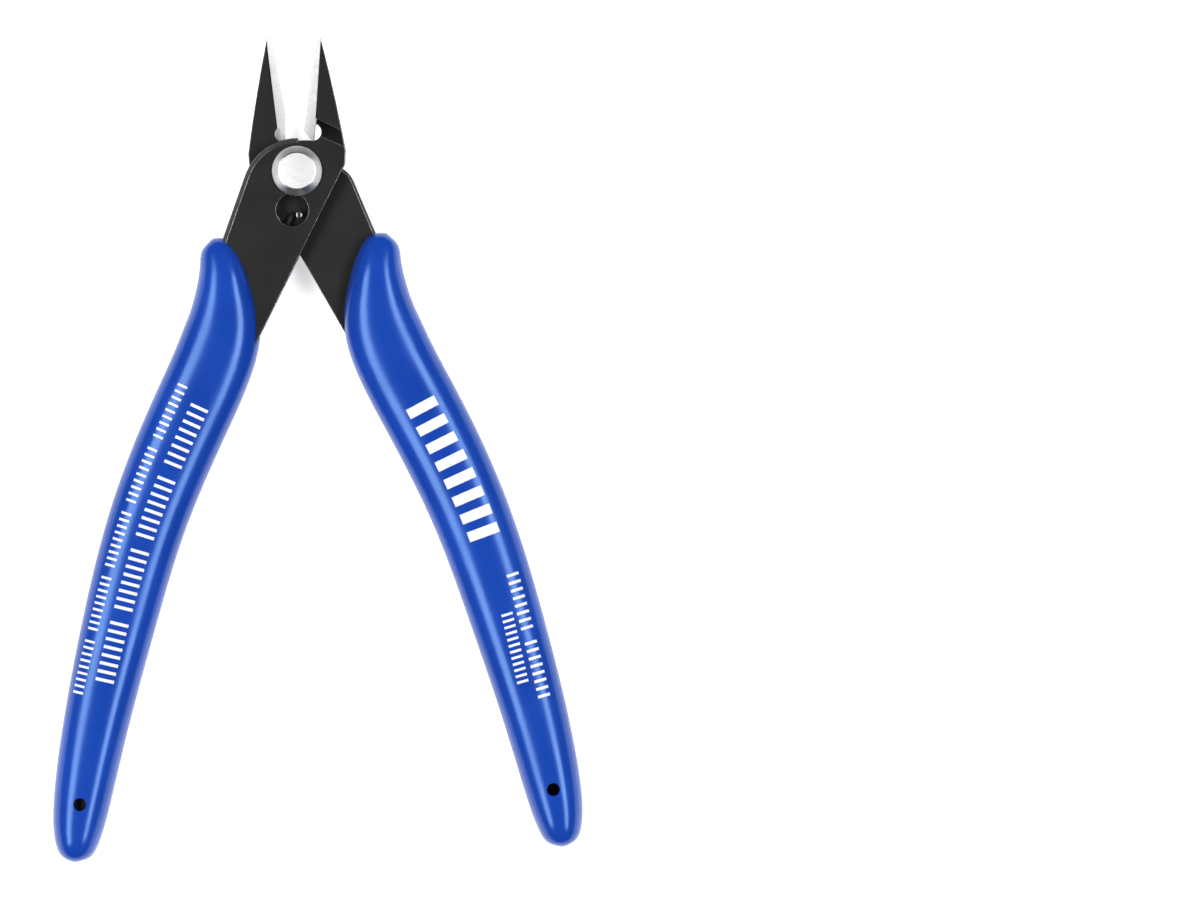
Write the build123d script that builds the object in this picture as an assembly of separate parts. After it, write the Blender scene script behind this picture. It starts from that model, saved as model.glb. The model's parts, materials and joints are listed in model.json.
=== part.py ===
from build123d import *
import math
import os

# Flush cutter for fine wire: two lapped steel levers on one rivet, a wire return spring
# and a vinyl sleeve on each handle. Millimetres and degrees.
#
# Frame: the origin is on the pivot's axis, on the flat back of the rivet's collar.
# +Z points out of the front face, +Y towards the jaws. The front lever has its handle
# on the left (-X) and its jaw on the right; the rear lever is the other way round.

# ---- Driving dimensions ----

PLATE = 2.5               # thickness of each steel lever
RUNNING_GAP = 0.05        # axial play between parts that turn on each other
HALF_OPENING = 9.1        # angle of each cutting edge from the centre line at rest
EDGE_GAP = 0.015          # distance of each closed cutting edge from the centre line

HEAD_RADIUS = 3.875       # rivet head
HEAD_FLAT_RADIUS = 2.85
HEAD_RIM_HEIGHT = 0.45
HEAD_HEIGHT = 1.3
SHANK_RADIUS = 2.4
SHANK_CLEARANCE = 0.025   # running clearance of the rear lever on the shank
COLLAR_RADIUS = 3.5
COLLAR_HEIGHT = 0.8
COLLAR_CHAMFER = 0.25
TAIL_RECESS = 0.1         # the rivet's tail ends this far inside the collar

JAW_LENGTH = 21.7         # pivot to the tips of the cutting edges
BEVEL_ANGLE = 36.5        # slope of each ground bevel, measured from the tool's axis of view
TAPER_START = 6.0         # the jaws get thinner towards their tips from here
TIP_THICKNESS = 1.15
FLUSH_GRIND = 0.1         # depth ground off the back of the jaws
FLUSH_START = 7.0         # the ground back begins this far from the pivot
HUB_RADIUS = 4.7          # steel left round the rivet in the throat
FRONT_SOFTENING = 0.65    # chamfer along the front lever's shoulder and outer edge
REAR_SOFTENING = 0.35     # chamfer along the rear lever's outer edge

WINDOW_CENTRE = (-0.93, -6.04)
WINDOW_RADIUS = 2.5
PIN_CENTRE = (0.1, -6.8)
PIN_RADIUS = 0.5
PIN_RISE = 2.1            # height of the pin's end over the rear lever
PIN_DIMPLE_RADIUS = 0.2

WIRE_RADIUS = 0.45
WIRE_ROOT = (-12.0, -28.0)
WIRE_HOOK = 2.4           # length of the bent tail that anchors the wire
WIRE_HOOK_TURN = 70
WIRE_BEND_RADIUS = 1.35
WIRE_PIN_GAP = 0.02       # between the wire's side and the pin
WIRE_PAST_PIN = 0.35      # the wire's tip stands this far past the pin's centre
GROOVE_DEPTH = 1.0
GROOVE_SIDE = 0.05        # room on each side of the wire in its groove

GRIP_HALF_THICKNESS = 4.7
GRIP_HOLE_CENTRE = (-36.66, -97.0)
GRIP_HOLE_RADIUS = 1.0

# ---- Levels along Z ----

BACK = COLLAR_HEIGHT + RUNNING_GAP      # back of the rear lever, and of both jaws
LAP = BACK + PLATE                      # front of the rear lever, and of both jaws
FRONT_BACK = LAP + RUNNING_GAP          # back of the front lever at the pivot
FRONT = FRONT_BACK + PLATE              # front of the front lever
MIDDLE = (LAP + FRONT_BACK) / 2         # middle plane of the tool and of the grips


def turned_out(x, y):
    """A point of the right jaw, given with the jaws closed, at its place with the jaws open."""
    turn = math.radians(HALF_OPENING)
    return (
        x * math.cos(turn) + y * math.sin(turn),
        y * math.cos(turn) - x * math.sin(turn),
    )


# ---- Outlines of the levers, all with the handle on the left and the jaw on the right ----

TIP_CORNER = turned_out(0.95, 20.9)     # where the tip's short slope meets the outer edge
JAW_BELLY = turned_out(4.05, 12.75)
JAW_ROOT = turned_out(7.0, 4.1)
HEEL = (7.45, 0.9)                      # corner between the jaw's outer edge and the handle
HEEL_FILLET = 1.2
GRIP_MOUTH_INNER = (-6.93, -26.0)       # the handle's inner edge is straight from the heel to here
OUTER_EDGE_TOP = (-8.25, -0.76)         # the handle's outer edge is straight from here
OUTER_EDGE_END = (-15.7, -20.0)         # to here, inside the grip
TANG_INNER = [(-16.0, -41.2), (-25.9, -64.8), (-32.5, -88.5), (-35.6, -100.3)]
TANG_END = (-37.9, -102.6)
TANG_OUTER = [(-39.7, -100.3), (-36.9, -87.5), (-30.9, -63.2), (-21.9, -38.8)]
SHOULDER_MIDDLE = (-5.8, 2.9)           # on the round shoulder of the front lever
SHOULDER_TOP = (0.2, 5.14)
THROAT_STEP = (0.45, 4.72)              # the throat's floor starts with a small step


def handle_edges():
    """The edges of a lever from its jaw's root, round the handle and tang, to the outer edge's top."""
    inner_line = Line(HEEL, GRIP_MOUTH_INNER)
    outer_line = Line(OUTER_EDGE_END, OUTER_EDGE_TOP)
    inner_tang = Spline(
        [GRIP_MOUTH_INNER, *TANG_INNER],
        tangents=[inner_line % 1, Line(*TANG_INNER[-2:]) % 1],
    )
    tang_end = ThreePointArc(TANG_INNER[-1], TANG_END, TANG_OUTER[0])
    outer_tang = Spline(
        [*TANG_OUTER, OUTER_EDGE_END],
        tangents=[Line(*TANG_OUTER[:2]) % 0, outer_line % 0],
    )
    return [inner_line, inner_tang, tang_end, outer_tang, outer_line]


def jaw_edges(edge_foot):
    """The edges of a jaw from the foot of its cutting edge, round the tip, to the heel."""
    tip = turned_out(EDGE_GAP, JAW_LENGTH)
    return [
        Line(edge_foot, tip),
        Line(tip, TIP_CORNER),
        ThreePointArc(TIP_CORNER, JAW_BELLY, JAW_ROOT),
        Line(JAW_ROOT, HEEL),
    ]


def rounded_heel(face):
    """The outline with the corner at its heel rounded."""
    corner = face.vertices().sort_by_distance(HEEL)[0]
    return fillet(corner, HEEL_FILLET)


def front_outline():
    """The front lever's outline: a round shoulder, a small step and a straight cutting edge."""
    edge_foot_y = THROAT_STEP[1]
    turn = math.radians(HALF_OPENING)
    edge_foot = (edge_foot_y * math.tan(turn) + EDGE_GAP / math.cos(turn), edge_foot_y)
    edges = [
        *handle_edges(),
        ThreePointArc(OUTER_EDGE_TOP, SHOULDER_MIDDLE, SHOULDER_TOP),
        Line(SHOULDER_TOP, THROAT_STEP),
        Line(THROAT_STEP, edge_foot),
        *jaw_edges(edge_foot),
    ]
    return rounded_heel(make_face(edges))


RELIEF_TOP = turned_out(EDGE_GAP, 9.75)  # the rear jaw's edge is relieved from here to its throat
HUB_LEFT_ANGLE = 129.9                  # polar angle where the hub's round meets the shoulder's slope
RELIEF_FOOT_X = 1.15
SLOPE_FILLET = 4.0


def rear_outline():
    """The rear lever's outline, before it is mirrored: a round hub and a relieved cutting edge."""
    relief_foot = turned_out(
        RELIEF_FOOT_X, math.sqrt(HUB_RADIUS**2 - RELIEF_FOOT_X**2)
    )
    hub_left = Vector(HUB_RADIUS, 0).rotate(Axis.Z, HUB_LEFT_ANGLE)
    hub_top = (0, HUB_RADIUS)
    edges = [
        *handle_edges(),
        Line(OUTER_EDGE_TOP, hub_left),
        ThreePointArc(hub_left, hub_top, relief_foot),
        Line(relief_foot, RELIEF_TOP),
        *jaw_edges(RELIEF_TOP),
    ]
    face = rounded_heel(make_face(edges))
    corner = face.vertices().sort_by_distance(OUTER_EDGE_TOP)[0]
    return fillet(corner, SLOPE_FILLET)


def edge_cutter(outline, level, amount):
    """The wedge that chamfers a lever's outer edge, from its shoulder into the grip."""
    path = Wire(
        [
            edge
            for edge in outline.edges()
            if (edge @ 0.5).X < SHOULDER_MIDDLE[0] / 2 and (edge @ 0.5).Y > OUTER_EDGE_END[1]
        ]
    )
    start, along = path @ 0, path % 0
    inward = along.rotate(Axis.Z, 90)
    if inward.dot(start) > 0:
        inward = -inward
    spare = RUNNING_GAP                 # the wedge reaches this far outside the plate
    corners = [(amount + spare, spare), (-spare, spare), (-spare, -amount - spare)]
    points = [start + inward * n + Vector(0, 0, level + rise) for n, rise in corners]
    return sweep(make_face(Polyline(points, close=True)), path, transition=Transition.RIGHT)


# ---- Shaping of the jaws ----

FAR = 60.0                              # reaches past any part of the tool


def in_closed_jaw(shape):
    """A cutter made for the closed right jaw, at its place with the jaws open."""
    return shape.rotate(Axis.Z, -HALF_OPENING)


def side_prism(points):
    """A prism along X whose section is given by its corners (y, z)."""
    section = make_face(Polyline([(0, y, z) for y, z in points], close=True))
    return extrude(section, amount=FAR, dir=(1, 0, 0), both=True)


def bevel_cutter():
    """The space in front of the ground bevel, which rises from the cutting edge on the back."""
    below, above = PLATE / 5, 2 * PLATE
    slope = math.tan(math.radians(BEVEL_ANGLE))
    corners = [
        (-FAR, BACK - below),
        (EDGE_GAP - below * slope, BACK - below),
        (EDGE_GAP + above * slope, BACK + above),
        (-FAR, BACK + above),
    ]
    section = make_face(Polyline([(x, 0, z) for x, z in corners], close=True))
    return in_closed_jaw(extrude(section, amount=FAR, dir=(0, 1, 0)))


def taper_cutter():
    """The space in front of the jaws' sloping front face, which thins them towards the tip."""
    drop = PLATE - TIP_THICKNESS
    slope = drop / (JAW_LENGTH - TAPER_START)
    reach = FAR - TAPER_START
    corners = [
        (TAPER_START, LAP),
        (FAR, LAP - slope * reach),
        (FAR, LAP + PLATE),
        (TAPER_START, LAP + PLATE),
    ]
    return in_closed_jaw(side_prism(corners))


def flush_cutter():
    """The thin layer ground off the back of the jaws, which makes their flush face."""
    corners = [
        (FLUSH_START, BACK - 1),
        (FAR, BACK - 1),
        (FAR, BACK + FLUSH_GRIND),
        (FLUSH_START, BACK + FLUSH_GRIND),
    ]
    return in_closed_jaw(side_prism(corners))


# The joggle of the front lever: its front and back slope down towards the jaw along a
# direction turned clockwise from +Y.
JOGGLE_TURN = 26.0
FRONT_SLOPE = (6.43, 8.65)              # distances from the pivot where the front slope starts, ends
BACK_SLOPE = (5.0, 6.2)


def joggle_prism():
    """The slab that the joggled front lever is cut from, seen from its edge."""
    corners = [
        (-2 * FAR, FRONT_BACK),
        (BACK_SLOPE[0], FRONT_BACK),
        (BACK_SLOPE[1], BACK),
        (FAR, BACK),
        (FAR, LAP),
        (FRONT_SLOPE[1], LAP),
        (FRONT_SLOPE[0], FRONT),
        (-2 * FAR, FRONT),
    ]
    return side_prism(corners).rotate(Axis.Z, -JOGGLE_TURN)


def joggle_keep():
    """The part of the front lever that the jaw's taper must leave alone, up to the joggle's foot."""
    corners = [
        (-FAR, BACK),
        (FRONT_SLOPE[1], BACK),
        (FRONT_SLOPE[1], FRONT + 1),
        (-FAR, FRONT + 1),
    ]
    return side_prism(corners).rotate(Axis.Z, -JOGGLE_TURN)


# Grinding reliefs at the foot of the bevels: round pockets open to the throat, given for
# the closed right jaw.
FRONT_POCKET = (1.55, 6.35)
FRONT_POCKET_CENTRE = turned_out(*FRONT_POCKET)
FRONT_POCKET_RADIUS = 1.4
REAR_POCKET_CENTRE = turned_out(1.15, 6.1)
REAR_POCKET_RADIUS = 1.2
REAR_POCKET_DEPTH = 0.5


def front_throat():
    """The space cut out of the front lever's upper level: its pocket, throat and bevel."""
    run = PLATE * math.tan(math.radians(BEVEL_ANGLE))
    pocket = Pos(*FRONT_POCKET_CENTRE) * Circle(FRONT_POCKET_RADIUS)
    strip_width = FRONT_POCKET_CENTRE[0] - THROAT_STEP[0]
    strip_length = FRONT_POCKET_CENTRE[1] - THROAT_STEP[1] + FRONT_POCKET_RADIUS / 2
    strip = Pos(*THROAT_STEP) * Rectangle(
        strip_width, strip_length, align=(Align.MIN, Align.MIN)
    )
    along_bevel = Pos(0, FRONT_POCKET[1]) * Rectangle(
        run, JAW_LENGTH, align=(Align.MIN, Align.MIN)
    )
    flat = pocket + strip + in_closed_jaw(along_bevel)
    return extrude(Pos(0, 0, FRONT_BACK) * flat, amount=PLATE)


# ---- The return spring and the groove it works in ----


def wire_path():
    """The wire's centre line: a straight leg beside the pin and a bent tail in the handle."""
    beside_pin = PIN_RADIUS + WIRE_RADIUS + WIRE_PIN_GAP
    tip = (PIN_CENTRE[0] - beside_pin, PIN_CENTRE[1] + WIRE_PAST_PIN)
    root = Vector(*WIRE_ROOT)
    leg = (root - Vector(*tip)).normalized()
    tail = root + leg.rotate(Axis.Z, WIRE_HOOK_TURN) * WIRE_HOOK
    level = FRONT_BACK + WIRE_RADIUS
    points = [(p[0], p[1], level) for p in (tip, tuple(root), tuple(tail))]
    return FilletPolyline(points, radius=WIRE_BEND_RADIUS)


def return_spring():
    """Music-wire spring, straight at rest, that pushes the pin of the rear lever to the right."""
    path = wire_path()
    section = Plane(origin=path @ 0, z_dir=path % 0) * Circle(WIRE_RADIUS)
    return sweep(section, path)


def spring_groove():
    """The groove in the back of the front lever, widened towards the window for the wire's travel."""
    half = WIRE_RADIUS + GROOVE_SIDE
    path = wire_path()
    start = path @ 0
    root = Vector(*WIRE_ROOT)
    leg = (root - Vector(start.X, start.Y)).normalized()
    side = leg.rotate(Axis.Z, -90)
    travel = 2 * math.sin(math.radians(HALF_OPENING)) * abs(PIN_CENTRE[1]) + half
    tip = Vector(start.X, start.Y)
    corners = [
        tip - side * half,
        tip + side * travel,
        root - leg * 2 + side * half,
        root - leg * 2 - side * half,
    ]
    fan = make_face(Polyline([(c.X, c.Y) for c in corners], close=True))
    fan_cut = extrude(Pos(0, 0, FRONT_BACK) * fan, amount=GROOVE_DEPTH)
    wire_room = sweep(Plane(origin=path @ 0, z_dir=path % 0) * Circle(half), path)
    return fan_cut + wire_room


# ---- The separate pieces ----


def front_blade():
    outline = front_outline()
    upper = extrude(Pos(0, 0, FRONT_BACK) * outline, amount=PLATE)
    upper -= edge_cutter(outline, FRONT, FRONT_SOFTENING)
    lower = extrude(Pos(0, 0, BACK) * outline, amount=FRONT_BACK - BACK)
    plate = (upper + lower) & joggle_prism()
    plate -= front_throat()
    plate -= bevel_cutter() & Pos(0, 0, BACK) * Box(
        2 * FAR, 2 * FAR, PLATE + RUNNING_GAP, align=(Align.CENTER, Align.CENTER, Align.MIN)
    )
    plate -= taper_cutter() - joggle_keep()
    plate -= flush_cutter()
    plate -= Pos(0, 0, FRONT_BACK) * Cylinder(
        SHANK_RADIUS, PLATE, align=(Align.CENTER, Align.CENTER, Align.MIN)
    )
    plate -= Pos(*WINDOW_CENTRE, FRONT_BACK) * Cylinder(
        WINDOW_RADIUS, PLATE, align=(Align.CENTER, Align.CENTER, Align.MIN)
    )
    plate -= spring_groove()
    return plate


def rear_blade():
    outline = rear_outline()
    plate = extrude(Pos(0, 0, BACK) * outline, amount=PLATE)
    plate -= edge_cutter(outline, LAP, REAR_SOFTENING)
    plate -= bevel_cutter()
    plate -= taper_cutter()
    plate -= flush_cutter()
    plate -= Pos(*REAR_POCKET_CENTRE, LAP - REAR_POCKET_DEPTH) * Cylinder(
        REAR_POCKET_RADIUS, PLATE, align=(Align.CENTER, Align.CENTER, Align.MIN)
    )
    plate = mirror(plate, about=Plane.YZ)
    plate -= Pos(0, 0, BACK) * Cylinder(
        SHANK_RADIUS + SHANK_CLEARANCE, PLATE, align=(Align.CENTER, Align.CENTER, Align.MIN)
    )
    plate -= Pos(*PIN_CENTRE, BACK) * Cylinder(
        PIN_RADIUS, PLATE, align=(Align.CENTER, Align.CENTER, Align.MIN)
    )
    return plate


def pivot_rivet():
    """Rivet with a bevelled head on the front; its tail ends just inside the collar."""
    head_top = FRONT + HEAD_HEIGHT
    profile = [
        (0, TAIL_RECESS),
        (SHANK_RADIUS, TAIL_RECESS),
        (SHANK_RADIUS, FRONT),
        (HEAD_RADIUS, FRONT),
        (HEAD_RADIUS, FRONT + HEAD_RIM_HEIGHT),
        (HEAD_FLAT_RADIUS, head_top),
        (0, head_top),
    ]
    section = make_face(Polyline([(r, 0, z) for r, z in profile], close=True))
    return revolve(section, axis=Axis.Z)


def rivet_collar():
    """Round collar pressed on the rivet's tail, with a chamfered back rim."""
    ring = Cylinder(COLLAR_RADIUS, COLLAR_HEIGHT, align=(Align.CENTER, Align.CENTER, Align.MIN))
    back_rim = ring.edges().filter_by(GeomType.CIRCLE).sort_by(Axis.Z)[0]
    ring = chamfer(back_rim, COLLAR_CHAMFER)
    return ring - Cylinder(SHANK_RADIUS, 3 * COLLAR_HEIGHT)


def spring_pin():
    """Pin pressed into the rear lever; its end, with a centre dimple, shows in the window."""
    pin = Pos(*PIN_CENTRE, BACK) * Cylinder(
        PIN_RADIUS, PLATE + PIN_RISE, align=(Align.CENTER, Align.CENTER, Align.MIN)
    )
    return pin - Pos(*PIN_CENTRE, LAP + PIN_RISE) * Sphere(PIN_DIMPLE_RADIUS)


# The grips. A grip is a sleeve of rounded sections that stand across this line, which runs
# from the horn beside the mouth to the grip's end. Left-hand grip: x, y, half the width.
GRIP_LINE = [
    (-13.5, -10.0, 0),
    (-13.1, -11.0, 2.2),
    (-12.4, -13.3, 3.3),
    (-11.85, -18.3, 4.6),
    (-12.3, -24.0, 5.85),
    (-14.3, -29.9, 6.25),
    (-18.0, -37.6, 6.3),
    (-24.9, -53.2, 6.05),
    (-30.0, -69.5, 5.65),
    (-34.3, -86.0, 5.0),
    (-36.7, -97.5, 4.3),
    (-37.5, -102.7, 3.45),
    (-37.75, -105.2, 2.2),
    (-37.8, -106.1, 0),
]
GRIP_STATIONS = 18        # sections along a grip, closer together near its rounded ends
SECTION_POINTS = 12
SECTION_SQUARENESS = 2.4  # exponent of a section's outline; 2 is an ellipse
HORN_ROUNDING = 0.12      # share of the length over which the thickness grows at the horn
END_ROUNDING = 0.06       # and over which it shrinks at the grip's end


def grip_half_thickness(t):
    """Half the grip's thickness at a share t of the way from the horn to the end."""
    from_horn = min(t / HORN_ROUNDING, 1)
    from_end = min((1 - t) / END_ROUNDING, 1)
    rounding = math.sqrt((1 - (1 - from_horn) ** 2) * (1 - (1 - from_end) ** 2))
    return GRIP_HALF_THICKNESS * rounding


def rounded_power(value, exponent):
    """A power that keeps the sign of its base."""
    return math.copysign(abs(value) ** exponent, value)


def grip_section(line, t):
    """A grip's section across its line, at a share t of the way from the horn to the end."""
    at = line @ t
    along = Vector((line % t).X, (line % t).Y).normalized()
    across = along.rotate(Axis.Z, 90)
    half_width = at.Z
    half_thickness = grip_half_thickness(t)
    exponent = 2 / SECTION_SQUARENESS
    points = []
    for i in range(SECTION_POINTS):
        angle = 2 * math.pi * i / SECTION_POINTS
        side = half_width * rounded_power(math.cos(angle), exponent)
        rise = half_thickness * rounded_power(math.sin(angle), exponent)
        points.append(Vector(at.X, at.Y, MIDDLE + rise) + across * side)
    return make_face(Spline(points, periodic=True))


def left_sleeve():
    """The left grip before it is fitted to its tang."""
    line = Spline(GRIP_LINE)
    sections = []
    for i in range(1, GRIP_STATIONS):
        share = (1 - math.cos(math.pi * i / GRIP_STATIONS)) / 2
        sections.append(grip_section(line, share))
    return loft(sections)


def fitted_grip(sleeve, tang, hole_x, tang_front):
    """A sleeve with the slot for its tang, and a small hole through the vinyl in front of the tang."""
    hole = Pos(hole_x, GRIP_HOLE_CENTRE[1], tang_front) * Cylinder(
        GRIP_HOLE_RADIUS, FAR, align=(Align.CENTER, Align.CENTER, Align.MIN)
    )
    return sleeve - tang - hole


def left_grip():
    tang = extrude(Pos(0, 0, FRONT_BACK) * front_outline(), amount=PLATE)
    return fitted_grip(left_sleeve(), tang, GRIP_HOLE_CENTRE[0], FRONT)


def right_grip():
    sleeve = mirror(left_sleeve(), about=Plane.YZ)
    tang = mirror(extrude(Pos(0, 0, BACK) * rear_outline(), amount=PLATE), about=Plane.YZ)
    return fitted_grip(sleeve, tang, -GRIP_HOLE_CENTRE[0], LAP)


def main():
    pieces = {
        "front_blade": front_blade(),
        "rear_blade": rear_blade(),
        "pivot_rivet": pivot_rivet(),
        "rivet_collar": rivet_collar(),
        "return_spring": return_spring(),
        "spring_pin": spring_pin(),
        "left_grip": left_grip(),
        "right_grip": right_grip(),
    }
    os.makedirs("parts", exist_ok=True)
    for name, piece in pieces.items():
        export_step(piece, f"parts/{name}.step")


main()
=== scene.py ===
import json
import math

import bmesh
import bpy
import numpy as np
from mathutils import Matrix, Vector

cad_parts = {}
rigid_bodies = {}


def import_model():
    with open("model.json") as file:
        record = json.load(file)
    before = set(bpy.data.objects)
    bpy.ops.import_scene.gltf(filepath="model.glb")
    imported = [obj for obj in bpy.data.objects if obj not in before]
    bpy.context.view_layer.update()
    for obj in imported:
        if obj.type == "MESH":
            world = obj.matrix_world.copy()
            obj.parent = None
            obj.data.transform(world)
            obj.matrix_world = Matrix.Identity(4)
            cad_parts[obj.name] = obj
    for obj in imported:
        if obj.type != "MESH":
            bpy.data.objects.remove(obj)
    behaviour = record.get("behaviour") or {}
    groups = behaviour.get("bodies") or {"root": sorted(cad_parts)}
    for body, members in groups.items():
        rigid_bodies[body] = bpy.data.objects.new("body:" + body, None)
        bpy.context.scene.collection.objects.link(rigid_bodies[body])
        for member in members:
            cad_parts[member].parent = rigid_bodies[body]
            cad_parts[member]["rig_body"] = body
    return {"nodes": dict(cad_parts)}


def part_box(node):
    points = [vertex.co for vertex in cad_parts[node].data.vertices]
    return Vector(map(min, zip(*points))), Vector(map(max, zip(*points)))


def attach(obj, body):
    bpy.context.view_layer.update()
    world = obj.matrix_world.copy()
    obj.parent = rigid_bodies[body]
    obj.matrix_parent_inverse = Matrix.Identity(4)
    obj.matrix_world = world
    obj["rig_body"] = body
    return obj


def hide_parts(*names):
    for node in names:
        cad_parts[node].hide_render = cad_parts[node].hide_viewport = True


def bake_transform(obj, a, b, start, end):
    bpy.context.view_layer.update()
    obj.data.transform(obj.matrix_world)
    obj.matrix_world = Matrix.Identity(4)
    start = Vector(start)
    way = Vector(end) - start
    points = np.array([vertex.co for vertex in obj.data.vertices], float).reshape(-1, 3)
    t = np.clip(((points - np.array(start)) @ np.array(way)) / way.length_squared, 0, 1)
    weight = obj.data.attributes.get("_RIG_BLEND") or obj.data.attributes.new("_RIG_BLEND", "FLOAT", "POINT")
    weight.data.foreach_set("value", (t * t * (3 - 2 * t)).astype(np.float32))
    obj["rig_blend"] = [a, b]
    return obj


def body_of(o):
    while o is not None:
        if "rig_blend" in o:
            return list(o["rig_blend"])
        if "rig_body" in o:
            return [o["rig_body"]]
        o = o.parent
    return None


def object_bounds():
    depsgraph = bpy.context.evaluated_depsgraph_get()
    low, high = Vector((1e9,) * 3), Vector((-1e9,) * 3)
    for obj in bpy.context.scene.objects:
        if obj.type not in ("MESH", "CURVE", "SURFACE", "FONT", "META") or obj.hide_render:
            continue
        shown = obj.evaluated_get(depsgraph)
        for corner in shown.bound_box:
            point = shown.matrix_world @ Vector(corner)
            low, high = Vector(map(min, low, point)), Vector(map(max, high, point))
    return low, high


# The looks of a small flush cutter: black levers with ground jaws, a bright rivet, a wire
# return spring and glossy blue grips. The tool's lengths are in millimetres until mesh_object()
# and the other places marked MM turn them into metres. Floor, lights and camera are in metres.

MM = 0.001

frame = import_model()
cad_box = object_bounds()
bodies = {node: body_of(obj)[0] for node, obj in frame["nodes"].items()}


def node_box(node):
    """Lowest and highest corner of a CAD node, in millimetres."""
    low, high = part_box(node)
    return low / MM, high / MM


# ---- Places taken from the frame ----

RIVET_LOW, RIVET_HIGH = node_box("pivot_rivet")
COLLAR_LOW, COLLAR_HIGH = node_box("rivet_collar")
PIN_LOW, PIN_HIGH = node_box("spring_pin")
FRONT_HIGH = node_box("front_blade")[1]
REAR_LOW, REAR_HIGH = node_box("rear_blade")
GRIP_LOW, GRIP_HIGH = node_box("left_grip")

BACK = REAR_LOW.z                     # back of the rear lever
LAP = REAR_HIGH.z                     # front of the rear lever
FRONT = FRONT_HIGH.z                  # front of the front lever
MIDDLE = (GRIP_LOW.z + GRIP_HIGH.z) / 2
PRINT_HEIGHT = 0.02                   # half the thickness of the ink, which straddles the surface
HALF_THICKNESS = (GRIP_HIGH.z - GRIP_LOW.z) / 2 - PRINT_HEIGHT
HEAD_RADIUS = RIVET_HIGH.x
COLLAR_RADIUS = COLLAR_HIGH.x
PIN_RADIUS = (PIN_HIGH.x - PIN_LOW.x) / 2
PIN_CENTRE = (PIN_HIGH + PIN_LOW) / 2
SHANK_RADIUS = 2.4                    # the rivet's shank, and the collar's bore on it

HALF_OPENING = math.radians(9.1)      # each cutting edge's angle from the centre line
BEVEL_ANGLE = math.radians(36.5)      # slope of the ground bevels from the line of sight


# ---- Mesh helpers ----


def mesh_object(name, points, faces):
    """A new object from points in millimetres."""
    mesh = bpy.data.meshes.new(name)
    mesh.from_pydata([tuple(c * MM for c in p) for p in points], [], faces)
    mesh.validate()
    obj = bpy.data.objects.new(name, mesh)
    bpy.context.scene.collection.objects.link(obj)
    return obj


def face_outward(mesh, weld=0.0):
    """Turns a closed mesh's faces outward, after joining the points closer than weld."""
    shape = bmesh.new()
    shape.from_mesh(mesh)
    if weld:
        bmesh.ops.remove_doubles(shape, verts=shape.verts, dist=weld * MM)
    bmesh.ops.recalc_face_normals(shape, faces=shape.faces)
    shape.to_mesh(mesh)
    shape.free()


def smooth(obj, sharp_angle):
    """Shades smooth, except across edges sharper than an angle in degrees."""
    obj.data.shade_smooth()
    obj.data.set_sharp_from_angle(angle=math.radians(sharp_angle))


def applied(obj):
    """Applies the object's modifiers to its mesh."""
    graph = bpy.context.evaluated_depsgraph_get()
    mesh = bpy.data.meshes.new_from_object(
        obj.evaluated_get(graph), preserve_all_data_layers=True, depsgraph=graph
    )
    obj.modifiers.clear()
    obj.data = mesh
    return obj


def finish_piece(obj, node, material):
    """Puts a finished piece on its CAD body, in place of its CAD node."""
    if not obj.data.materials:
        obj.data.materials.append(material)
    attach(obj, bodies[node])
    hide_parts(node)


def turned(name, profile, turns, centre=(0, 0)):
    """A turned solid; its (radius, z) outline runs from axis to axis or back to its start."""
    points = []
    faces = []
    rows = []
    for radius, z in profile:
        if radius == 0:
            rows.append([len(points)])
            points.append((centre[0], centre[1], z))
            continue
        rows.append(list(range(len(points), len(points) + turns)))
        for i in range(turns):
            angle = 2 * math.pi * i / turns
            points.append(
                (centre[0] + radius * math.cos(angle), centre[1] + radius * math.sin(angle), z)
            )
    for low, high in zip(rows, rows[1:]):
        for i in range(turns):
            a, b = low[i % len(low)], low[(i + 1) % len(low)]
            d, c = high[i % len(high)], high[(i + 1) % len(high)]
            faces.append([v for k, v in enumerate((a, b, c, d)) if v not in (a, b, c, d)[:k]])
    obj = mesh_object(name, points, faces)
    face_outward(obj.data, weld=0.0001)
    return obj


def rounded_profile(corners, radii, steps=4):
    """A (radius, z) outline whose inner corners are rounded with the given radii."""
    rounded = [corners[0]]
    for i in range(1, len(corners) - 1):
        corner = Vector(corners[i])
        before = Vector(corners[i - 1]) - corner
        after = Vector(corners[i + 1]) - corner
        reach = min(radii[i], before.length / 2, after.length / 2)
        if reach == 0:
            rounded.append(tuple(corner))
            continue
        start = corner + before.normalized() * reach
        end = corner + after.normalized() * reach
        for k in range(steps + 1):
            t = k / steps
            point = start * (1 - t) ** 2 + corner * 2 * t * (1 - t) + end * t**2
            rounded.append(tuple(point))
    rounded.append(corners[-1])
    return rounded


# ---- Materials ----


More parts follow.
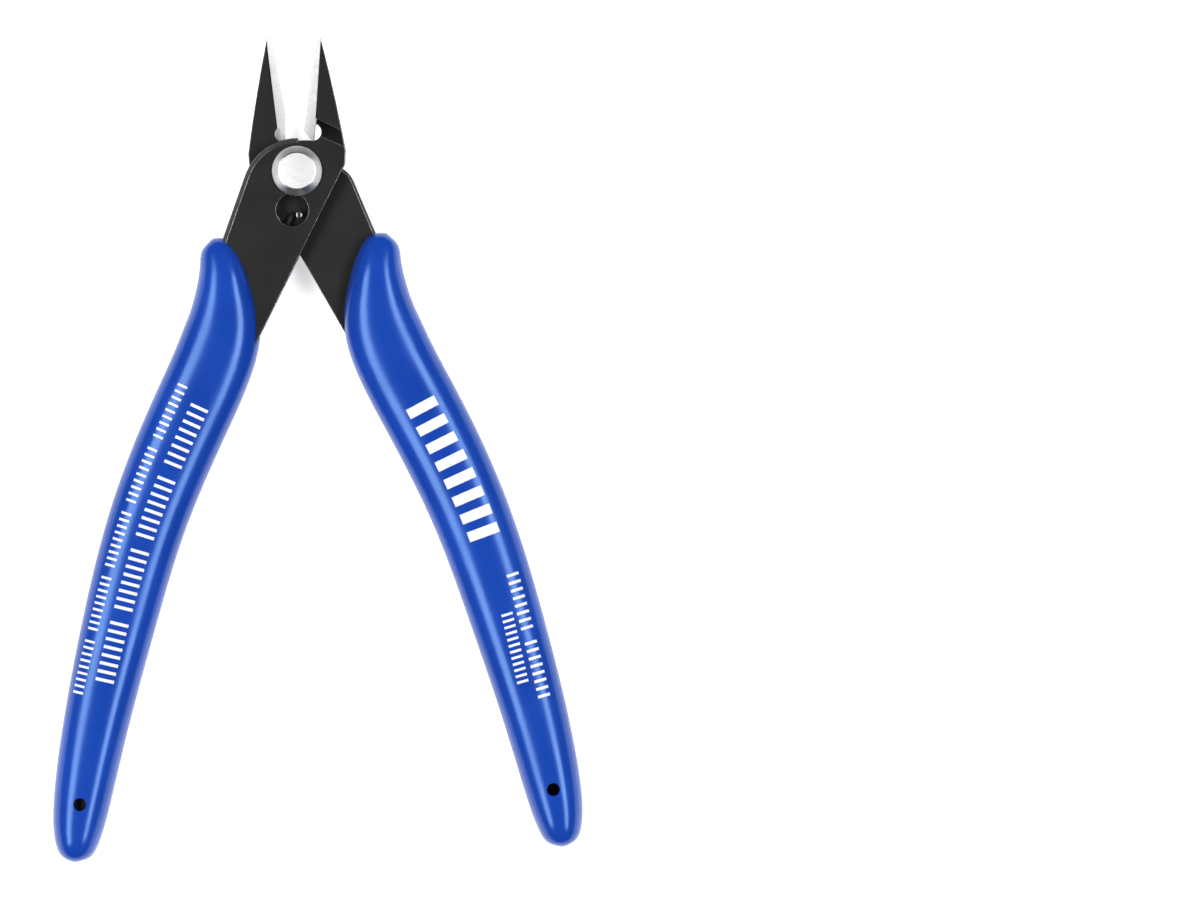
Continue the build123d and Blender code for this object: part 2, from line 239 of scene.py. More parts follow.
class Shader:
    """A Principled material and short calls for its procedural nodes."""

    def __init__(self, name, **sockets):
        self.material = bpy.data.materials.new(name)
        self.material.use_nodes = True
        self.tree = self.material.node_tree
        self.main = self.tree.nodes["Principled BSDF"]
        for socket, value in sockets.items():
            self.main.inputs[socket.replace("_", " ")].default_value = value
        self.place = self.add("ShaderNodeTexCoord").outputs["Object"]

    def add(self, kind, **settings):
        node = self.tree.nodes.new(kind)
        for key, value in settings.items():
            setattr(node, key, value)
        return node

    def link(self, output, socket):
        self.tree.links.new(output, socket)

    def stretched(self, scale, turn=0.0):
        """Object coordinates scaled along each axis, in features per metre."""
        node = self.add("ShaderNodeMapping")
        node.inputs["Scale"].default_value = scale
        node.inputs["Rotation"].default_value = (0, 0, turn)
        self.link(self.place, node.inputs["Vector"])
        return node.outputs["Vector"]

    def noise(self, vector, scale, detail):
        node = self.add("ShaderNodeTexNoise")
        node.inputs["Scale"].default_value = scale
        node.inputs["Detail"].default_value = detail
        self.link(vector, node.inputs["Vector"])
        return node.outputs["Fac"]

    def ramp(self, factor, *stops):
        """A ramp of (place, grey or colour) stops."""
        node = self.add("ShaderNodeValToRGB")
        elements = node.color_ramp.elements
        while len(elements) < len(stops):
            elements.new(0.5)
        for element, (place, value) in zip(elements, stops):
            element.position = place
            colour = value if hasattr(value, "__len__") else (value, value, value)
            element.color = (*colour, 1)
        self.link(factor, node.inputs["Fac"])
        return node.outputs["Color"]

    def bump(self, height, distance, strength=1.0, after=None):
        """A bump of the given height in millimetres."""
        node = self.add("ShaderNodeBump")
        node.inputs["Strength"].default_value = strength
        node.inputs["Distance"].default_value = distance * MM
        self.link(height, node.inputs["Height"])
        if after:
            self.link(after, node.inputs["Normal"])
        return node.outputs["Normal"]

    def use(self, output, socket):
        self.link(output, self.main.inputs[socket])


def vinyl():
    """Glossy dipped vinyl: slow colour drift, a faint orange peel and soft handling marks."""
    shader = Shader(
        "glossy_blue_vinyl",
        IOR=1.5,
        Specular_IOR_Level=0.8,
        Specular_Tint=(0.35, 0.62, 1.0, 1.0),
    )
    drift = shader.noise(shader.place, 90, 2)
    shader.use(
        shader.ramp(drift, (0.3, (0.0072, 0.052, 0.385)), (0.7, (0.0100, 0.064, 0.45))),
        "Base Color",
    )
    waves = shader.noise(shader.place, 170, 1)
    peel = shader.noise(shader.place, 900, 2)
    soft = shader.bump(waves, 0.05, 0.4)
    shader.use(shader.bump(peel, 0.003, 0.4, soft), "Normal")
    rubbed = shader.noise(shader.stretched((300, 60, 300)), 1.0, 4)
    shader.use(shader.ramp(rubbed, (0.35, 0.20), (0.7, 0.27)), "Roughness")
    return shader.material


def print_ink():
    """White pad-printed ink, a little uneven and thinned at random spots."""
    shader = Shader("white_print_ink", Specular_IOR_Level=0.4)
    patchy = shader.noise(shader.place, 1400, 4)
    shader.use(
        shader.ramp(patchy, (0.3, (0.80, 0.83, 0.90)), (0.6, (0.93, 0.94, 0.96))),
        "Base Color",
    )
    shader.use(shader.ramp(patchy, (0.3, 0.5), (0.7, 0.35)), "Roughness")
    shader.use(shader.bump(patchy, 0.004), "Normal")
    return shader.material


def black_oxide(name, dark, light, specular):
    """Satin blackened steel with a fine bead-blasted grain and faint cloudy patches."""
    shader = Shader(name, Specular_IOR_Level=specular)
    cloud = shader.noise(shader.place, 160, 3)
    grain = shader.noise(shader.place, 9000, 2)
    shader.use(shader.ramp(cloud, (0.3, dark), (0.7, light)), "Base Color")
    shader.use(shader.ramp(cloud, (0.3, 0.42), (0.7, 0.52)), "Roughness")
    shader.use(shader.bump(grain, 0.003, 0.6), "Normal")
    return shader.material


def worn_edge():
    """The levers' edge breaks, where the black has rubbed thin and grey steel shows."""
    shader = Shader("worn_black_edge", Metallic=1.0)
    mottle = shader.noise(shader.place, 1100, 4)
    shader.use(
        shader.ramp(mottle, (0.3, (0.09, 0.09, 0.09)), (0.7, (0.20, 0.20, 0.20))),
        "Base Color",
    )
    shader.use(shader.ramp(mottle, (0.3, 0.45), (0.7, 0.3)), "Roughness")
    return shader.material


def chamfer_highlight_oxide():
    """The chamfers along the levers' outer edges: a lighter grey than the black, a painted highlight on top
    of the light that their slope really catches.
    """
    shader = Shader("chamfer_painted_highlight_oxide", Specular_IOR_Level=0.4)
    mottle = shader.noise(shader.place, 500, 4)
    shader.use(
        shader.ramp(mottle, (0.3, (0.018, 0.018, 0.019)), (0.7, (0.030, 0.030, 0.031))),
        "Base Color",
    )
    shader.use(shader.ramp(mottle, (0.3, 0.40), (0.7, 0.30)), "Roughness")
    return shader.material


def ground_steel():
    """Bright ground steel with fine parallel grinding lines."""
    shader = Shader("ground_steel", Metallic=1.0)
    lines = shader.noise(shader.stretched((400, 9000, 400)), 1.0, 3)
    shader.use(
        shader.ramp(lines, (0.3, (0.66, 0.66, 0.67)), (0.7, (0.76, 0.76, 0.77))),
        "Base Color",
    )
    shader.use(shader.ramp(lines, (0.3, 0.42), (0.7, 0.3)), "Roughness")
    shader.use(shader.bump(lines, 0.002, 0.6), "Normal")
    return shader.material


def turned_steel(name, bright, dull):
    """Lathe-turned steel: concentric tool marks that stretch each highlight across them."""
    rings_per_metre = 9000
    shader = Shader(name, Metallic=1.0, Anisotropic=0.8, Anisotropic_Rotation=0.25)
    tangent = shader.add("ShaderNodeTangent", direction_type="RADIAL", axis="Z")
    shader.use(tangent.outputs["Tangent"], "Tangent")
    apart = shader.add("ShaderNodeSeparateXYZ")
    shader.link(shader.place, apart.inputs["Vector"])
    flat = shader.add("ShaderNodeCombineXYZ")
    shader.link(apart.outputs["X"], flat.inputs["X"])
    shader.link(apart.outputs["Y"], flat.inputs["Y"])
    radius = shader.add("ShaderNodeVectorMath", operation="LENGTH")
    shader.link(flat.outputs["Vector"], radius.inputs[0])
    rings_at = shader.add("ShaderNodeCombineXYZ")
    shader.link(radius.outputs["Value"], rings_at.inputs["X"])
    rings = shader.noise(rings_at.outputs["Vector"], rings_per_metre, 2)
    spots = shader.noise(shader.place, 400, 2)
    shader.use(shader.ramp(rings, (0.3, dull), (0.7, bright)), "Base Color")
    shader.use(shader.ramp(spots, (0.3, 0.30), (0.7, 0.34)), "Roughness")
    shader.use(shader.bump(rings, 0.001, 0.5), "Normal")
    return shader.material


def satin_steel():
    """The rivet's flat: bright steel polished to an even satin, with a few faint scuffs."""
    shader = Shader("satin_bright_steel", Metallic=1.0)
    scuffs = shader.noise(shader.stretched((900, 5000, 900), math.radians(25)), 1.0, 4)
    shader.use(
        shader.ramp(scuffs, (0.3, (0.93, 0.93, 0.93)), (0.7, (0.97, 0.97, 0.97))), "Base Color"
    )
    shader.use(shader.ramp(scuffs, (0.3, 0.42), (0.7, 0.48)), "Roughness")
    shader.use(shader.bump(scuffs, 0.0008, 0.5), "Normal")
    return shader.material


def drawn_wire():
    """Oil-blackened spring wire with die lines along it."""
    shader = Shader("black_spring_wire", Specular_IOR_Level=0.25)
    lines = shader.noise(shader.stretched((7000, 300, 7000), math.radians(-30)), 1.0, 3)
    shader.use(
        shader.ramp(lines, (0.3, (0.008, 0.008, 0.0085)), (0.7, (0.013, 0.013, 0.0135))),
        "Base Color",
    )
    shader.use(shader.ramp(lines, (0.3, 0.55), (0.7, 0.45)), "Roughness")
    return shader.material


# ---- The levers ----

EDGE_BREAK = 0.11                     # width of the small bevel on every sharp edge
SHARP_ANGLE = math.radians(35)        # edges sharper than this are broken
WELD = 0.002                          # points of the CAD mesh closer than this are joined
FLAT_ANGLE = math.radians(0.6)        # faces that meet flatter than this become one
SPECK = 0.02                          # edges shorter than this are dissolved
BRIGHT_COSINE = math.cos(math.radians(4))
FLUSH_BACK = (0.05, 0.2)              # the jaws' ground backs stand this far in from the back
THROAT_BOTTOM = 4.65                  # the bright ground areas lie above this height on the tool
POCKET_TOP = 8.5                      # and the grinding reliefs at their foot, below this one
POCKET_REACH = 3.6
POCKET_LEVELS = {1: 0.1, -1: -0.3}    # below this height from the lap, for each side
POCKET_FACING = -0.5                  # and their faces' normals rise by more than this
CHAMFER_RISE = (0.6, 0.8)             # upward share of the chamfers' and the joggle's normals
CHAMFER_DEPTH = 0.7                   # the chamfers lie within this of a lever's front
JOGGLE_TURN = math.radians(26)        # the joggle slopes down clockwise from +Y by this much
JOGGLE_FACING = 0.7                   # share of its faces' normals along that slope, at least
BLACK, BRIGHT, WORN, PAINTED_HIGHLIGHT, PAINTED_SHADE = range(5)    # material places on a lever; the fourth carries a painted highlight on the chamfers, the fifth painted shade on the joggle


def bevel_normal(side):
    """The outward normal of a jaw's ground bevel; side is 1 for the right jaw, -1 for the left."""
    across, rise = math.cos(BEVEL_ANGLE), math.sin(BEVEL_ANGLE)
    inward = -side * math.cos(HALF_OPENING)
    return Vector((across * inward, across * math.sin(HALF_OPENING), rise))


def is_bright(centre, normal, side):
    """Whether a lever's face is ground: its bevel, its flush back or its throat relief."""
    if centre.y < THROAT_BOTTOM:
        return False
    on_bevel = normal.dot(bevel_normal(side)) > BRIGHT_COSINE
    on_back = normal.z < -BRIGHT_COSINE and FLUSH_BACK[0] < centre.z - BACK < FLUSH_BACK[1]
    level = LAP + POCKET_LEVELS[side]
    in_pocket = centre.y < POCKET_TOP and abs(centre.x) < POCKET_REACH and centre.z < level
    return on_bevel or on_back or (in_pocket and normal.z > POCKET_FACING)


def is_chamfer(centre, normal, front):
    """Whether a lever's face is the chamfer along its shoulder and outer edge."""
    return CHAMFER_RISE[0] < normal.z < CHAMFER_RISE[1] and centre.z > front - CHAMFER_DEPTH


def brighten_ground_edges(mesh):
    """Makes the strips of an edge break that lie along a ground face bright too."""
    shape = bmesh.new()
    shape.from_mesh(mesh)
    ground = []
    for face in shape.faces:
        if face.material_index != WORN:
            continue
        longest = max(edge.calc_length() for edge in face.edges)
        along = [edge for edge in face.edges if edge.calc_length() > longest / 2]
        if any(near.material_index == BRIGHT for edge in along for near in edge.link_faces):
            ground.append(face)
    for face in ground:
        face.material_index = BRIGHT
    shape.to_mesh(mesh)
    shape.free()


def is_joggle(normal):
    """Whether a face slopes down towards the jaw as the front lever's joggle does."""
    down_way = Vector((math.sin(JOGGLE_TURN), math.cos(JOGGLE_TURN), 0))
    return CHAMFER_RISE[0] < normal.z < CHAMFER_RISE[1] and normal.dot(down_way) > JOGGLE_FACING


def mark_broken_edges(shape, side):
    """Marks the sharp edges to be broken: all but those of the ground bevel, which cuts."""
    weight = shape.edges.layers.float.new("bevel_weight_edge")
    for edge in shape.edges:
        if len(edge.link_faces) != 2 or edge.calc_face_angle() < SHARP_ANGLE:
            continue
        ground = any(
            face.normal.dot(bevel_normal(side)) > BRIGHT_COSINE for face in edge.link_faces
        )
        edge[weight] = 0.0 if ground else 1.0
        edge.smooth = not ground


def lever(name, node, side, materials):
    """A lever with its edges broken and worn, its ground faces bright and its edge sharp."""
    mesh = frame["nodes"][node].data.copy()
    mesh.materials.clear()
    obj = bpy.data.objects.new(name, mesh)
    bpy.context.scene.collection.objects.link(obj)
    shape = bmesh.new()
    shape.from_mesh(mesh)
    bmesh.ops.remove_doubles(shape, verts=shape.verts, dist=WELD * MM)
    bmesh.ops.dissolve_limit(
        shape, angle_limit=FLAT_ANGLE, verts=shape.verts, edges=shape.edges
    )
    bmesh.ops.dissolve_degenerate(shape, dist=SPECK * MM, edges=shape.edges)
    bmesh.ops.recalc_face_normals(shape, faces=shape.faces)
    mark_broken_edges(shape, side)
    shape.to_mesh(mesh)
    shape.free()
    for material in materials:
        mesh.materials.append(material)
    front = FRONT if side > 0 else LAP
    for polygon in mesh.polygons:
        centre = polygon.center / MM
        if is_bright(centre, polygon.normal, side):
            polygon.material_index = BRIGHT
        # The joggle gets a darker, duller black: painted shade where its slope faces away from the light.
        elif side > 0 and is_joggle(polygon.normal):
            polygon.material_index = PAINTED_SHADE
        # The chamfers get a lighter grey: a painted highlight along the shoulder and outer edge.
        elif is_chamfer(centre, polygon.normal, front):
            polygon.material_index = PAINTED_HIGHLIGHT
        else:
            polygon.material_index = BLACK
    edge_break = obj.modifiers.new("edge_break", "BEVEL")
    edge_break.width = EDGE_BREAK * MM
    edge_break.segments = 2
    edge_break.limit_method = "WEIGHT"
    edge_break.material = WORN
    edge_break.use_clamp_overlap = False
    mesh.shade_smooth()
    even = obj.modifiers.new("even_shading", "WEIGHTED_NORMAL")
    even.weight = 80
    even.keep_sharp = True
    applied(obj)
    brighten_ground_edges(obj.data)
    finish_piece(obj, node, materials[BLACK])


# ---- Rivet, collar and pin ----


def rivet(turned_finish, flat_finish):
    """The rivet: a crowned flat, a turned bevel and a short rim on the head, and its shank."""
    rim, flat_radius, crown = 0.45, 2.85, 0.04
    top = RIVET_HIGH.z
    corners = [
        (0, RIVET_LOW.z),
        (SHANK_RADIUS, RIVET_LOW.z),
        (SHANK_RADIUS, FRONT),
        (HEAD_RADIUS, FRONT),
        (HEAD_RADIUS, FRONT + rim),
        (flat_radius, top - crown),
        (0, top),
    ]
    radii = [0, 0.1, 0, 0.05, 0.08, 0.1, 0]
    obj = turned("rivet", rounded_profile(corners, radii), turns=192)
    obj.data.materials.append(turned_finish)
    obj.data.materials.append(flat_finish)
    for polygon in obj.data.polygons:
        polygon.material_index = int(polygon.center.z / MM > top - crown)
    return obj


def collar():
    """The collar pressed on the rivet's tail."""
    chamfer = 0.25
    low, high = COLLAR_LOW.z, COLLAR_HIGH.z
    corners = [
        (SHANK_RADIUS, low),
        (COLLAR_RADIUS - chamfer, low),
        (COLLAR_RADIUS, low + chamfer),
        (COLLAR_RADIUS, high),
        (SHANK_RADIUS, high),
        (SHANK_RADIUS, low),
    ]
    radii = [0, 0.06, 0.06, 0.05, 0.05, 0]
    return turned("collar", rounded_profile(corners, radii), turns=160)


def pin(finish, dimple_shade):
    """The pin's rounded end with its centre dimple, coloured black as painted shade."""
    low, high = PIN_LOW.z, PIN_HIGH.z
    dimple, depth = 0.22, 0.15
    corners = [
        (0, low),
        (PIN_RADIUS, low),
        (PIN_RADIUS, high),
        (dimple, high),
        (0, high - depth),
    ]
    radii = [0, 0.05, 0.12, 0.05, 0]
    centre = (PIN_CENTRE.x, PIN_CENTRE.y)
    obj = turned("pin", rounded_profile(corners, radii), turns=64, centre=centre)
    obj.data.materials.append(finish)
    obj.data.materials.append(dimple_shade)
    for polygon in obj.data.polygons:
        at = polygon.center / MM - PIN_CENTRE
        polygon.material_index = int(Vector((at.x, at.y)).length < dimple and at.z > 0)
    return obj


# ---- The return spring ----

WIRE_RADIUS = 0.45
WIRE_TIP = (-0.87, -6.45)
WIRE_ROOT = (-12.0, -28.0)
WIRE_BEND_START = (-10.2, -23.8)      # the wire follows the front lever up to here
WIRE_HOOK = 2.4                       # length of the bent tail in the handle
WIRE_HOOK_TURN = math.radians(70)
WIRE_BEND_RADIUS = 3 * WIRE_RADIUS


def wire_line():
    """The wire's centre line: a straight leg, a round bend and a short tail."""
    leg_steps, bend_steps, tail_steps = 24, 12, 4
    level = node_box("return_spring")[0].z + WIRE_RADIUS
    tip, root = Vector((*WIRE_TIP, level)), Vector((*WIRE_ROOT, level))
    leg = (root - tip).normalized()
    cosine, sine = math.cos(WIRE_HOOK_TURN), math.sin(WIRE_HOOK_TURN)
    tail_way = Vector((leg.x * cosine - leg.y * sine, leg.x * sine + leg.y * cosine, 0))
    bend = WIRE_BEND_RADIUS * math.tan(WIRE_HOOK_TURN / 2)
    start, end = root - leg * bend, root + tail_way * bend
    line = [tip.lerp(start, i / leg_steps) for i in range(leg_steps)]
    for i in range(bend_steps + 1):
        t = i / bend_steps
        line.append(start * (1 - t) ** 2 + root * 2 * t * (1 - t) + end * t**2)
    tail = root + tail_way * WIRE_HOOK
    line += [end.lerp(tail, i / tail_steps) for i in range(1, tail_steps + 1)]
    return line


def tube(name, line, radius, around=24, rounding=0.12):
    """A round wire along a line in a level plane, with its ends slightly rounded."""
    points = []
    faces = []
    rings = [(line[0], radius - rounding)]
    first = (line[1] - line[0]).normalized()
    last = (line[-1] - line[-2]).normalized()
    rings.append((line[0] + first * rounding, radius))
    rings += [(p, radius) for p in line[1:-1]]
    rings.append((line[-1] - last * rounding, radius))
    rings.append((line[-1], radius - rounding))
    for i, (at, size) in enumerate(rings):
        before, after = rings[max(i - 1, 0)][0], rings[min(i + 1, len(rings) - 1)][0]
        along = (after - before).normalized()
        side = Vector((along.y, -along.x, 0))
        for k in range(around):
            angle = 2 * math.pi * k / around
            up = Vector((0, 0, size * math.sin(angle)))
            points.append(at + side * size * math.cos(angle) + up)
    for i in range(len(rings) - 1):
        for k in range(around):
            a = i * around + k
            b = i * around + (k + 1) % around
            faces.append((a, b, b + around, a + around))
    faces.append(tuple(reversed(range(around))))
    faces.append(tuple(range((len(rings) - 1) * around, len(rings) * around)))
    return mesh_object(name, points, faces)


# ---- The grips ----

# The line that a grip's rounded sections stand across, from the horn beside the mouth to the
# end. Left-hand grip: x, y, half the width.
GRIP_LINE = np.array([
    (-13.5, -10.0, 0),
    (-13.1, -11.0, 2.2),
    (-12.4, -13.3, 3.3),
    (-11.85, -18.3, 4.6),
    (-12.3, -24.0, 5.85),
    (-14.3, -29.9, 6.25),
    (-18.0, -37.6, 6.3),
    (-24.9, -53.2, 6.05),
    (-30.0, -69.5, 5.65),
    (-34.3, -86.0, 5.0),
    (-36.7, -97.5, 4.3),
    (-37.5, -102.7, 3.45),
    (-37.75, -105.2, 2.2),
    (-37.8, -106.1, 0),
])
SQUARENESS = 2.4                      # exponent of a section's outline; 2 is an ellipse
HORN_ROUNDING = 0.12                  # share of the length over which the horn thickens
END_ROUNDING = 0.06                   # and over which the end thins
GRIP_HOLE = (-36.66, -97.0)
GRIP_HOLE_RADIUS = 1.0


class Curve:
    """A natural cubic spline through points, asked for by its share of the way, 0 to 1."""

    def __init__(self, points):
        steps = np.linalg.norm(np.diff(points, axis=0), axis=1)
        self.knots = np.concatenate([[0], np.cumsum(steps)])
        self.knots /= self.knots[-1]
        self.points = points
        self.bends = self.natural_bends()

    def natural_bends(self):
        """Second derivatives of the natural cubic spline."""
        count = len(self.points)
        widths = np.diff(self.knots)
        matrix = np.eye(count)
        right = np.zeros((count, self.points.shape[1]))
        for i in range(1, count - 1):
            matrix[i, i - 1 : i + 2] = (
                widths[i - 1],
                2 * (widths[i - 1] + widths[i]),
                widths[i],
            )
            rise = np.diff(self.points[i - 1 : i + 2], axis=0)
            right[i] = 6 * (rise[1] / widths[i] - rise[0] / widths[i - 1])
        return np.linalg.solve(matrix, right)

    def at(self, share):
        """The curve's point at a share of the way."""
        i = int(np.clip(np.searchsorted(self.knots, share) - 1, 0, len(self.knots) - 2))
        width = self.knots[i + 1] - self.knots[i]
        a = (self.knots[i + 1] - share) / width
        b = 1 - a
        bend = (a**3 - a) * self.bends[i] + (b**3 - b) * self.bends[i + 1]
        return a * self.points[i] + b * self.points[i + 1] + bend * width**2 / 6

    def along(self, share):
        """The curve's direction there, in the tool's plane."""
        step = 1e-4
        way = self.at(min(share + step, 1)) - self.at(max(share - step, 0))
        return Vector((way[0], way[1])).normalized()


GRIP_CURVE = Curve(GRIP_LINE)
GRIP_LENGTH = float(np.linalg.norm(np.diff(GRIP_LINE[:, :2], axis=0), axis=1).sum())


def grip_half_thickness(share):
    """Half the grip's thickness, which swells in at the horn and rounds off at the end."""
    from_horn = min(share / HORN_ROUNDING, 1)
    from_end = min((1 - share) / END_ROUNDING, 1)
    return HALF_THICKNESS * math.sqrt(
        (1 - (1 - from_horn) ** 2) * (1 - (1 - from_end) ** 2)
    )


def signed_power(value, exponent):
    """The power of a number's size, with the number's own sign."""
    return math.copysign(abs(value) ** exponent, value)


def grip_point(share, angle):
    """A point of the left grip's surface. Angle 0 is its inner side, 90 degrees its front."""
    x, y, half_width = GRIP_CURVE.at(share)
    along = GRIP_CURVE.along(share)
    across = Vector((-along.y, along.x))
    side = max(half_width, 0) * signed_power(math.cos(angle), 2 / SQUARENESS)
    rise = grip_half_thickness(share) * signed_power(math.sin(angle), 2 / SQUARENESS)
    height = max(y + across.y * side, GRIP_LOW.y)
    return Vector((x + across.x * side, height, MIDDLE + rise))


def grip_body(name, side, tang_node, hole_floor):
    """A grip: a rounded sleeve, cut by its tang, with a small hole near its end."""
    stations, around = 220, 96
    hole_top = GRIP_HIGH.z + 10       # well clear of the front
    points = [grip_point(0, 0)]
    for i in range(1, stations):
        share = (1 - math.cos(math.pi * i / stations)) / 2
        for k in range(around):
            points.append(grip_point(share, 2 * math.pi * k / around))
    points.append(grip_point(1, 0))
    faces = []
    for k in range(around):
        faces.append((0, 1 + k, 1 + (k + 1) % around))
    for i in range(stations - 2):
        for k in range(around):
            a = 1 + i * around + k
            b = 1 + i * around + (k + 1) % around
            faces.append((a, a + around, b + around, b))
    last_ring = 1 + (stations - 2) * around
    for k in range(around):
        faces.append((len(points) - 1, last_ring + (k + 1) % around, last_ring + k))
    points = [(side * p.x, p.y, p.z) for p in points]
    obj = mesh_object(name, points, faces)
    face_outward(obj.data)
    hole = turned(
        "hole_cutter",
        [
            (0, hole_floor),
            (GRIP_HOLE_RADIUS, hole_floor),
            (GRIP_HOLE_RADIUS, hole_top),
            (0, hole_top),
        ],
        turns=48,
        centre=(side * GRIP_HOLE[0], GRIP_HOLE[1]),
    )
    for cutter in (frame["nodes"][tang_node], hole):
        cut = obj.modifiers.new("cut", "BOOLEAN")
        cut.operation = "DIFFERENCE"
        cut.solver = "EXACT"
        cut.object = cutter
        applied(obj)
    bpy.data.objects.remove(hole)
    return obj


# ---- Printed marks: plain bars that stand where the grips carry printing ----

SHARES = np.linspace(0, 1, 400)
SHARE_HEIGHTS = np.array([GRIP_CURVE.at(share)[1] for share in SHARES])


def share_at(y):
    """The share of the way along a grip where its line reaches the height y."""
    return float(np.interp(-y, -SHARE_HEIGHTS, SHARES))


def front_angle(offset):
    """The section angle of a point on the front, offset in half widths, 1 at the inner side."""
    return math.acos(signed_power(offset, SQUARENESS / 2))


def printed_bar(points, faces, share, offset, length, height):
    """Adds a bar that lies across the grip: length along the line, height across it."""
    columns, rows = 9, 3
    half_width = GRIP_CURVE.at(share)[2]
    first = len(points)
    for row in range(rows):
        here = share + length * (row / (rows - 1) - 0.5) / GRIP_LENGTH
        for column in range(columns):
            across = offset + height * (column / (columns - 1) - 0.5) / half_width
            points.append(grip_point(here, front_angle(across)))
    for row in range(rows - 1):
        for column in range(columns - 1):
            a = first + row * columns + column
            faces.append((a, a + 1, a + columns + 1, a + columns))


def printed_row(points, faces, heights, offsets, groups, bar, height):
    """Adds a row of bars between two heights on the grip, in groups of the given sizes."""
    slots = sum(groups) + len(groups) - 1
    slot = 0
    for group in groups:
        for _ in range(group):
            way = (slot + 0.5) / slots
            y = heights[0] + (heights[1] - heights[0]) * way
            offset = offsets[0] + (offsets[1] - offsets[0]) * way
            printed_bar(points, faces, share_at(y), offset, bar, height)
            slot += 1
        slot += 1


def printed_marks(name, side, rows):
    """The ink on a grip's front: rows of plain bars."""
    points, faces = [], []
    for row in rows:
        printed_row(points, faces, *row)
    obj = mesh_object(name, [(side * p.x, p.y, p.z) for p in points], faces)
    ink = obj.modifiers.new("ink", "SOLIDIFY")
    ink.thickness = 2 * PRINT_HEIGHT * MM
    ink.offset = 0
    applied(obj)
    face_outward(obj.data)
    return obj


# Rows of bars: heights at both ends, offsets there, sizes of the groups, bar and row width.
# Every group in a row has the same number of bars, so the pattern follows no wording.
LEFT_ROWS = [
    ((-35.2, -78.5), (0.16, 0.02), (8, 8, 8, 8), 0.47, 2.9),
    ((-33.5, -81.0), (-0.44, -0.68), (9, 9, 9, 9, 9), 0.36, 1.6),
]
RIGHT_ROWS = [
    ((-36.0, -58.5), (-0.06, -0.15), (8,), 1.55, 4.9),
    ((-63.8, -83.5), (-0.52, -0.42), (8, 8), 0.42, 1.9),
    ((-69.3, -80.5), (-0.06, 0.08), (12,), 0.38, 1.8),
]


# ---- Stage, light and camera ----


def floor():
    """A plain pale floor just under the tool."""
    size = 3.0                        # half its side
    gap = 0.02 * MM
    level = cad_box[0][2] - gap
    mesh = bpy.data.meshes.new("floor")
    signs = [(-1, -1), (1, -1), (1, 1), (-1, 1)]
    corners = [(size * x, size * y, level) for x, y in signs]
    mesh.from_pydata(corners, [], [(0, 1, 2, 3)])
    obj = bpy.data.objects.new("floor", mesh)
    bpy.context.scene.collection.objects.link(obj)
    shader = Shader("pale_floor", Roughness=0.9, Specular_IOR_Level=0.1)
    fibre = shader.noise(shader.place, 600, 3)
    shader.use(shader.ramp(fibre, (0.3, 0.90), (0.7, 0.92)), "Base Color")
    shader.main.inputs["Emission Color"].default_value = (1, 1, 1, 1)
    shader.main.inputs["Emission Strength"].default_value = 0.6
    mesh.materials.append(shader.material)


def soft_light(name, tilt, way, distance, size, power):
    """An area light tilted from straight above towards the azimuth way, aimed at the tool."""
    data = bpy.data.lights.new(name, "AREA")
    data.shape = "RECTANGLE"
    data.size, data.size_y = size
    data.energy = power
    obj = bpy.data.objects.new(name, data)
    bpy.context.scene.collection.objects.link(obj)
    aim = Vector((0, -0.045, 0))
    tilt, way = math.radians(tilt), math.radians(way)
    direction = Vector(
        (math.sin(tilt) * math.cos(way), math.sin(tilt) * math.sin(way), math.cos(tilt))
    )
    obj.location = aim + direction * distance
    obj.rotation_euler = (-direction).to_track_quat("-Z", "Y").to_euler()
    obj.visible_camera = False


def studio():
    """A white tent: brighter walls to the sides and roof, dimmer walls ahead and behind."""
    side_walls, end_walls, ceiling, everywhere = 1.2, 0.35, 0.55, 0.18
    backdrop = 0.92                   # what the camera sees of it
    world = bpy.data.worlds.new("studio")
    bpy.context.scene.world = world
    world.use_nodes = True
    tree = world.node_tree
    background = tree.nodes["Background"]

    def math_node(operation, *values):
        node = tree.nodes.new("ShaderNodeMath")
        node.operation = operation
        for socket, value in zip(node.inputs, values):
            if isinstance(value, (int, float)):
                socket.default_value = value
            else:
                tree.links.new(value, socket)
        return node.outputs[0]

    direction = tree.nodes.new("ShaderNodeTexCoord").outputs["Generated"]
    apart = tree.nodes.new("ShaderNodeSeparateXYZ")
    tree.links.new(direction, apart.inputs[0])
    up = math_node("POWER", math_node("MAXIMUM", apart.outputs[2], 0.0), 8.0)
    x_squared = math_node("MULTIPLY", apart.outputs[0], apart.outputs[0])
    y_squared = math_node("MULTIPLY", apart.outputs[1], apart.outputs[1])
    sides = math_node("MAXIMUM", math_node("SUBTRACT", x_squared, y_squared), 0.0)
    ends = math_node("MAXIMUM", math_node("SUBTRACT", y_squared, x_squared), 0.0)
    walls = math_node(
        "ADD",
        math_node("MULTIPLY", math_node("POWER", sides, 1.5), side_walls),
        math_node("MULTIPLY", math_node("POWER", ends, 2.0), end_walls),
    )
    roof = math_node("ADD", math_node("MULTIPLY", up, ceiling), everywhere)
    light = math_node("ADD", walls, roof)
    to_camera = tree.nodes.new("ShaderNodeLightPath").outputs["Is Camera Ray"]
    shown = math_node("MULTIPLY", to_camera, backdrop)
    lit = math_node("MULTIPLY", math_node("SUBTRACT", 1.0, to_camera), light)
    tree.links.new(math_node("ADD", shown, lit), background.inputs["Strength"])


def camera():
    """Straight down over the tool, a little to its right and below, and slightly rolled."""
    height, lens = 1.5, 290.25
    beside, below = 0.04524, 0.04462
    roll = math.radians(1.82)
    data = bpy.data.cameras.new("camera")
    data.lens = lens
    data.sensor_width = 36
    data.dof.use_dof = False
    obj = bpy.data.objects.new("camera", data)
    bpy.context.scene.collection.objects.link(obj)
    obj.location = (beside, -below, height)
    obj.rotation_euler = (0, 0, -roll)
    bpy.context.scene.camera = obj


# ---- Assembly ----

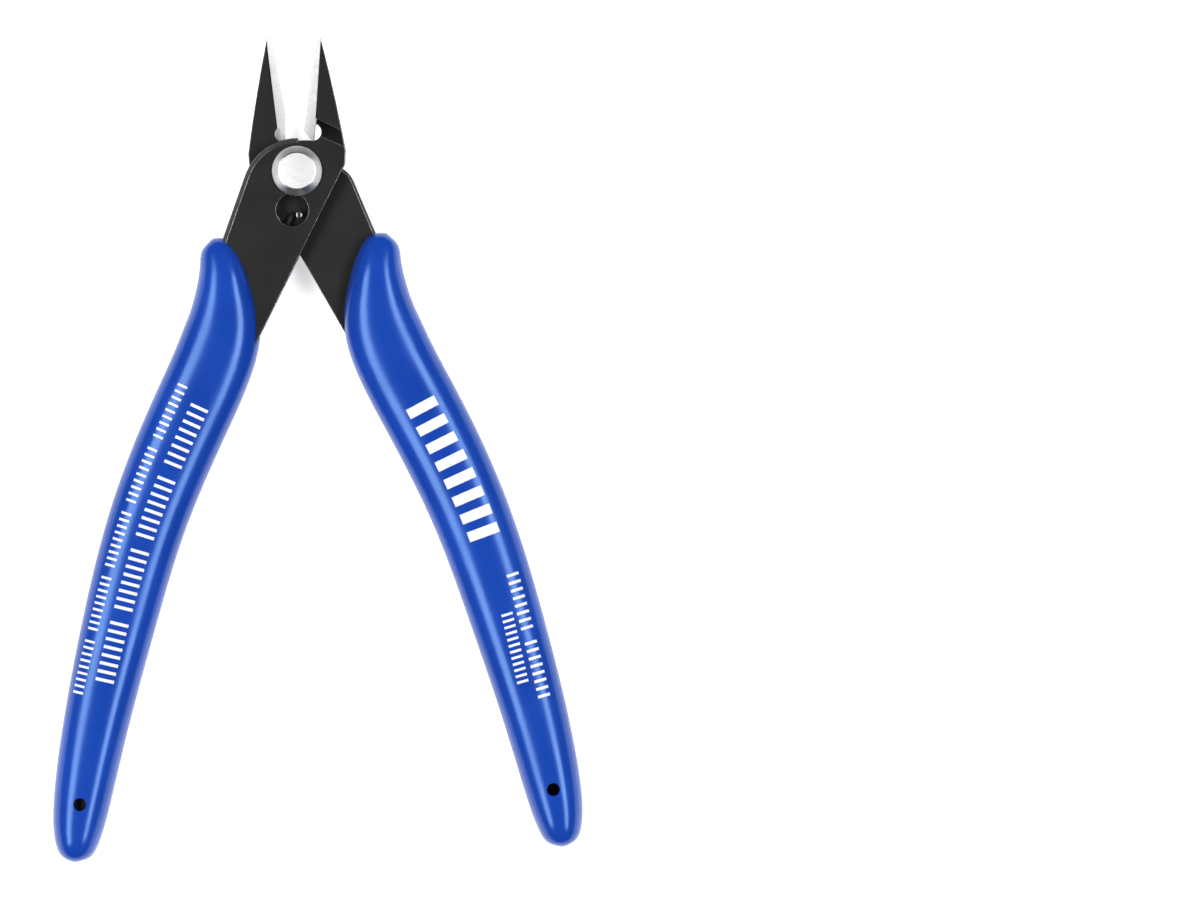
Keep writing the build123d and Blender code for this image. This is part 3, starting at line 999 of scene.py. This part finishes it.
lever_materials = [
    black_oxide("black_oxide_steel", (0.0084, 0.0084, 0.0086), (0.0118, 0.0117, 0.0116), 0.25),
    ground_steel(),
    worn_edge(),
    chamfer_highlight_oxide(),
    # Painted shade: a darker, less shiny copy of the black oxide for the front lever's joggle.
    black_oxide("joggle_painted_shade_oxide", (0.0022, 0.0022, 0.0023), (0.0034, 0.0034, 0.0034), 0.06),
]
lever("front_lever", "front_blade", 1, lever_materials)
lever("rear_lever", "rear_blade", -1, lever_materials)

bright_steel = turned_steel("turned_bright_steel", (0.93, 0.93, 0.93), (0.80, 0.80, 0.81))
wire_steel = drawn_wire()

head = rivet(bright_steel, satin_steel())
smooth(head, 20)
finish_piece(head, "pivot_rivet", bright_steel)

ring = collar()
smooth(ring, 20)
finish_piece(ring, "rivet_collar", bright_steel)

pin_steel = turned_steel("turned_pin_steel", (0.50, 0.50, 0.50), (0.36, 0.36, 0.37))
# The dimple takes the black wire material as painted shade.
stud = pin(pin_steel, wire_steel)
smooth(stud, 40)
finish_piece(stud, "spring_pin", pin_steel)

wire = tube("spring_wire", wire_line(), WIRE_RADIUS)
smooth(wire, 50)
wire.data.materials.append(wire_steel)
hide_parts("return_spring")
wire_level = node_box("return_spring")[0].z * MM
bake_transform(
    wire,
    "front",
    "rear",
    start=(WIRE_BEND_START[0] * MM, WIRE_BEND_START[1] * MM, wire_level),
    end=(WIRE_TIP[0] * MM, WIRE_TIP[1] * MM, wire_level),
)

vinyl_blue = vinyl()
for name, node, side, tang, tang_front in (
    ("grip_left", "left_grip", 1, "front_blade", FRONT),
    ("grip_right", "right_grip", -1, "rear_blade", LAP),
):
    piece = grip_body(name, side, tang, tang_front)
    smooth(piece, 45)
    finish_piece(piece, node, vinyl_blue)

ink = print_ink()
for name, node, side, rows in (
    ("print_left", "left_grip", 1, LEFT_ROWS),
    ("print_right", "right_grip", -1, RIGHT_ROWS),
):
    piece = printed_marks(name, side, rows)
    piece.data.materials.append(ink)
    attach(piece, bodies[node])

floor()
studio()
soft_light("right_softbox", 34, 0, 0.9, (0.8, 0.26), 5.6)
soft_light("left_softbox", 34, 180, 0.9, (0.8, 0.34), 6.6)
camera()
bpy.context.scene.view_settings.view_transform = "Standard"
